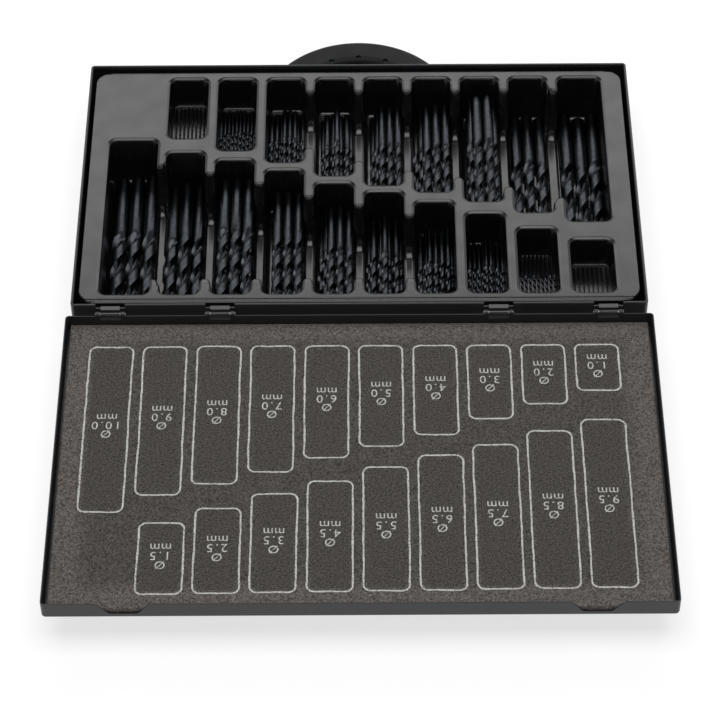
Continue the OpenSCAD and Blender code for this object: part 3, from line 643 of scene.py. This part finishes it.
def flute_section(count):
    """Half of a drill's section as (angle, radius share): a land, then a flute."""
    angles = list(np.linspace(0, LAND_ANGLE, max(2, count // 3), endpoint=False))
    turns = np.linspace(0, 1, count - len(angles), endpoint=False)
    shape = [(a, 1.0) for a in angles]
    for s in turns:
        dip = math.sin(math.pi * s ** FLUTE_LEAN) ** FLUTE_FULLNESS
        shape.append((LAND_ANGLE + s * (math.pi - LAND_ANGLE), 1 - FLUTE_DEPTH * dip))
    return shape


def twist_drill(x, y, z, length, diameter, turned):
    """Rings of points from the shank's end to the point, then the faces between them."""
    half_points, spacing = THICK_DETAIL if diameter > THIN_DIAMETER else THIN_DETAIL
    half = flute_section(half_points)
    section = half + [(a + math.pi, r) for a, r in half]
    angle = np.array([a for a, _ in section])
    share = np.array([r for _, r in section])
    radius = diameter / 2
    flute = length * FLUTE_SHARE
    shank = length - flute
    step = diameter * spacing
    stations = [0, CHAMFER_RUN * diameter, shank * 0.5, shank]
    stations += list(np.arange(shank + step, length - radius * TIP_RUN, step))
    points = []
    for number, along in enumerate(stations):
        cut = smooth_step(along, shank, shank + RUN_OUT * diameter)
        r = radius * (1 - (1 - share) * cut) * (CHAMFER_SHARE if number == 0 else 1)
        turn = angle + turned + 2 * math.pi * max(0, along - shank) / (HELIX_LEAD * diameter)
        points.append(np.stack([x + r * np.sin(turn), np.full(len(r), y + along),
            z + r * np.cos(turn)], axis=-1))
    r = radius * share
    along = length - r / math.tan(POINT_HALF_ANGLE)
    turn = angle + turned + 2 * math.pi * flute / (HELIX_LEAD * diameter)
    points.append(np.stack([x + r * np.sin(turn), y + along, z + r * np.cos(turn)], axis=-1))
    rings, across = len(points), len(section)
    ends = [[[x, y, z]], [[x, y + length, z]]]
    points = np.concatenate(points + ends)
    faces = []
    for ring in range(rings - 1):
        for i in range(across):
            j = (i + 1) % across
            a, b = ring * across, (ring + 1) * across
            faces.append([a + i, a + j, b + j, b + i])
    last = (rings - 1) * across
    for i in range(across):
        j = (i + 1) % across
        faces.append([rings * across, j, i])
        faces.append([rings * across + 1, last + i, last + j])
    return points, faces


def drill_piles():
    """Each size's drills as one piece, every drill turned by chance about its axis."""
    for name in sorted(n for n in nodes if n.startswith("drills_")):
        rolls = random.Random(name)
        points, faces, base = [], [], 0
        for x, y, z, length, diameter in drill_axes(name):
            rings, sides = twist_drill(x, y, z, length, diameter, rolls.uniform(0, math.pi))
            points.append(rings)
            faces += [[i + base for i in face] for face in sides]
            base += len(rings)
        piece = mesh_piece(name.replace("drills_", "twist_drills_"), np.concatenate(points),
            faces, DRILL_STEEL, "base")
        piece.data.set_sharp_from_angle(angle=SHARP_ANGLE)
        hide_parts(name)


# ---------------------------------------------------------------- the printed foam pad

# Outlines printed on the foam: the first one's middle, their spacing and their lengths, which
# start at one line beside the hinge or end at one line beside the latches
OUTLINE_WIDTH = 27.7 * MM
OUTLINE_CORNER = 4.5 * MM
OUTLINE_STROKE = 1.2 * MM
HINGE_OUTLINE_X = 159.0 * MM
HINGE_OUTLINE_PITCH = 34.53 * MM
HINGE_OUTLINE_Y = 139.2 * MM
HINGE_OUTLINES = {"10.0": 134.2, "9.0": 121.2, "8.0": 112.6, "7.0": 103.4, "6.0": 92.4,
    "5.0": 83.2, "4.0": 74.3, "3.0": 61.5, "2.0": 49.4, "1.0": 38.6}
FRONT_OUTLINE_X = 120.7 * MM
FRONT_OUTLINE_PITCH = 34.14 * MM
FRONT_OUTLINE_Y = 335.5 * MM
# The print lies a little askew on the foam, so its front line runs towards the hinge
FRONT_OUTLINE_SKEW = 0.42 * MM
FRONT_OUTLINES = {"1.5": 53.5, "2.5": 64.1, "3.5": 74.7, "4.5": 84.2, "5.5": 94.8, "6.5": 103.4,
    "7.5": 111.0, "8.5": 121.6, "9.5": 130.1}
# The foam's dents inside the outlines, its rounded edge and corners, and its end at the hinge,
# which lies lower
DISH_DEPTH = 0.5 * MM
DISH_RUN = 3.5 * MM
FOAM_EDGE = 1.2 * MM
FOAM_CORNER = 4 * MM
HINGE_END_DROP = 2.2 * MM
HINGE_END_RUN = 4.5 * MM
# Wear over the foam's middle, and where it sets in from the sides and from the ends
MIDDLE_WEAR = 0.85
SIDE_WEAR = (9 * MM, 26 * MM)
END_WEAR = (9 * MM, 24 * MM)
# Grid lines at the foam's edges, and between them from one inset to the other
FOAM_EDGE_LINES = np.array([0, 0.15, 0.4, 0.8, 1.2, 1.8, 2.8]) * MM
FOAM_FIRST = 4 * MM
FOAM_LAST = 3.5 * MM
FOAM_STEP = 1.6 * MM
# The ink lies just above the foam. Its line wanders a little, and its width varies
PRINT_RISE = 0.06 * MM
PRINT_SEED = 7
CORNER_STEP = 15
RIBBON_STEP = 3 * MM
DRIFT_KEPT = 0.75
DRIFT_STEP = 0.16 * MM
STROKE_SPREAD = (0.75, 1.15)


def outlines():
    """(label, box) of each outline in the lid."""
    found = []
    for i, (label, length) in enumerate(HINGE_OUTLINES.items()):
        x = HINGE_OUTLINE_X - i * HINGE_OUTLINE_PITCH
        found.append((label, (x - OUTLINE_WIDTH / 2, HINGE_OUTLINE_Y,
            x + OUTLINE_WIDTH / 2, HINGE_OUTLINE_Y + length * MM)))
    for i, (label, length) in enumerate(FRONT_OUTLINES.items()):
        x = FRONT_OUTLINE_X - i * FRONT_OUTLINE_PITCH
        y = FRONT_OUTLINE_Y - i * FRONT_OUTLINE_SKEW
        found.append((label, (x - OUTLINE_WIDTH / 2, y - length * MM,
            x + OUTLINE_WIDTH / 2, y)))
    return found


def foam_wear(x, y, pressed):
    """How dark the foam's face is: where drills press, and less so over its whole middle."""
    low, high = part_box("foam_pad")
    sides = np.minimum(x - low.x, high.x - x)
    ends = np.minimum(y - low.y, high.y - y)
    middle = smooth_step(sides, *SIDE_WEAR) * smooth_step(ends, *END_WEAR)
    return np.maximum(pressed, MIDDLE_WEAR * middle)


def foam_height(x, y):
    """Height of the foam's face and how far it is pressed, from 0 to 1."""
    low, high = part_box("foam_pad")
    pressed = np.zeros(np.shape(x))
    for _, box in outlines():
        inward = -outside_rounded_rect(x, y, box, OUTLINE_CORNER)
        pressed = np.maximum(pressed, smooth_step(inward, 0, DISH_RUN))
    inset = -outside_rounded_rect(x, y, (low.x, low.y, high.x, high.y), FOAM_CORNER)
    edge = np.clip(inset, 0, FOAM_EDGE)
    round_off = FOAM_EDGE - np.sqrt(FOAM_EDGE ** 2 - (FOAM_EDGE - edge) ** 2)
    sunk = HINGE_END_DROP * (1 - smooth_step(y - low.y, 0, HINGE_END_RUN))
    return high.z - DISH_DEPTH * pressed - np.maximum(round_off, sunk), pressed


def foam_lines(low, high):
    """Grid lines over the foam from one edge to the other, close together at both."""
    return np.unique(np.concatenate([low + FOAM_EDGE_LINES, high - FOAM_EDGE_LINES,
        np.arange(low + FOAM_FIRST, high - FOAM_LAST, FOAM_STEP)]))


def foam_pad():
    """The foam as one closed piece, with its wear as an attribute that its colour follows."""
    low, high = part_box("foam_pad")
    x, y = np.meshgrid(foam_lines(low.x, high.x), foam_lines(low.y, high.y), indexing="ij")
    z, pressed = foam_height(x, y)
    rows, columns = x.shape
    index = np.arange(rows * columns).reshape(rows, columns)
    rim = np.concatenate([index[:, 0], index[-1, 1:], index[-2::-1, -1], index[0, -2:0:-1]])
    flat = np.stack([x, y, z], axis=-1).reshape(-1, 3)
    foot = flat[rim].copy()
    foot[:, 2] = low.z
    below = rows * columns + np.arange(len(rim))
    sides = np.stack([rim, below, np.roll(below, -1), np.roll(rim, -1)], axis=-1)
    faces = grid_faces(rows, columns).tolist() + sides.tolist() + [below.tolist()]
    piece = mesh_piece("foam_sheet", np.concatenate([flat, foot]), faces, FOAM, "lid")
    wear = np.concatenate([foam_wear(x, y, pressed).ravel(), np.zeros(len(rim))])
    attribute = piece.data.attributes.new("pressed", "FLOAT", "POINT")
    attribute.data.foreach_set("value", wear.astype(np.float32))
    face_outwards(piece.data)
    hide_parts("foam_pad")


def printed_outlines():
    """A slightly wandering ribbon of ink round each outline."""
    wander = random.Random(PRINT_SEED)
    points, faces = [], []
    for _, (x0, y0, x1, y1) in outlines():
        centres = [(x1 - OUTLINE_CORNER, y1 - OUTLINE_CORNER, 0),
            (x0 + OUTLINE_CORNER, y1 - OUTLINE_CORNER, 90),
            (x0 + OUTLINE_CORNER, y0 + OUTLINE_CORNER, 180),
            (x1 - OUTLINE_CORNER, y0 + OUTLINE_CORNER, 270)]
        path = []
        for k, (cx, cy, start) in enumerate(centres):
            for a in range(0, 91, CORNER_STEP):
                t = math.radians(start + a)
                path.append((cx, cy, math.cos(t), math.sin(t)))
            nx, ny, begin = centres[(k + 1) % 4]
            side = math.radians(begin)
            run = math.hypot(nx - cx, ny - cy)
            for s in range(1, int(run / RIBBON_STEP)):
                share = s * RIBBON_STEP / run
                path.append((cx + (nx - cx) * share, cy + (ny - cy) * share,
                    math.cos(side), math.sin(side)))
        drift = 0.0
        first = len(points)
        for cx, cy, ux, uy in path:
            drift = DRIFT_KEPT * drift + wander.uniform(-DRIFT_STEP, DRIFT_STEP)
            half = OUTLINE_STROKE / 2 * wander.uniform(*STROKE_SPREAD)
            middle = OUTLINE_CORNER + drift
            for offset in (middle - half, middle + half):
                points.append((cx + ux * offset, cy + uy * offset))
        count = len(path)
        for i in range(count):
            a, b = first + 2 * i, first + 2 * ((i + 1) % count)
            faces.append([a, a + 1, b + 1, b])
    flat = np.array(points)
    z, _ = foam_height(flat[:, 0], flat[:, 1])
    mesh_piece("printed_outlines", np.column_stack([flat, z + PRINT_RISE]), faces, INK, "lid")


# Each line's text, its place up from the middle one, its size and its letter spacing
LABEL_LINES = [("Ø", 7.0, 8.4, 1.0), ("number", 0.0, 8.8, 1.28), ("mm", -6.4, 8.6, 1.08)]
LABEL_SHIFT = 2.4 * MM


def printed_sizes():
    """Each size as three lines inside its outline, read from the handle side."""
    parts = []
    for label, (x0, y0, x1, y1) in outlines():
        for text, up, size, spacing in LABEL_LINES:
            words = bpy.data.curves.new("words", "FONT")
            words.body = label if text == "number" else text
            words.align_x = "CENTER"
            words.align_y = "CENTER"
            words.size = size * MM
            words.space_character = spacing
            words.resolution_u = 3
            holder = bpy.data.objects.new("words", words)
            holder.location = ((x0 + x1) / 2, (y0 + y1) / 2 + up * MM - LABEL_SHIFT, 0)
            bpy.context.scene.collection.objects.link(holder)
            parts.append(holder)
    bpy.context.view_layer.update()
    depsgraph = bpy.context.evaluated_depsgraph_get()
    gathered = bmesh.new()
    for holder in parts:
        shape = holder.evaluated_get(depsgraph).to_mesh()
        shape.transform(holder.matrix_world)
        gathered.from_mesh(shape)
    mesh = bpy.data.meshes.new("printed_sizes")
    gathered.to_mesh(mesh)
    gathered.free()
    for holder in parts:
        bpy.data.objects.remove(holder)
    co = np.zeros(len(mesh.vertices) * 3, np.float32)
    mesh.vertices.foreach_get("co", co)
    co = co.reshape(-1, 3)
    z, _ = foam_height(co[:, 0], co[:, 1])
    co[:, 2] = z + PRINT_RISE
    mesh.vertices.foreach_set("co", co.ravel())
    mesh.materials.append(INK)
    piece = bpy.data.objects.new("printed_sizes", mesh)
    bpy.context.scene.collection.objects.link(piece)
    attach(piece, "lid")


formed_tray()
drill_piles()
foam_pad()
printed_outlines()
printed_sizes()
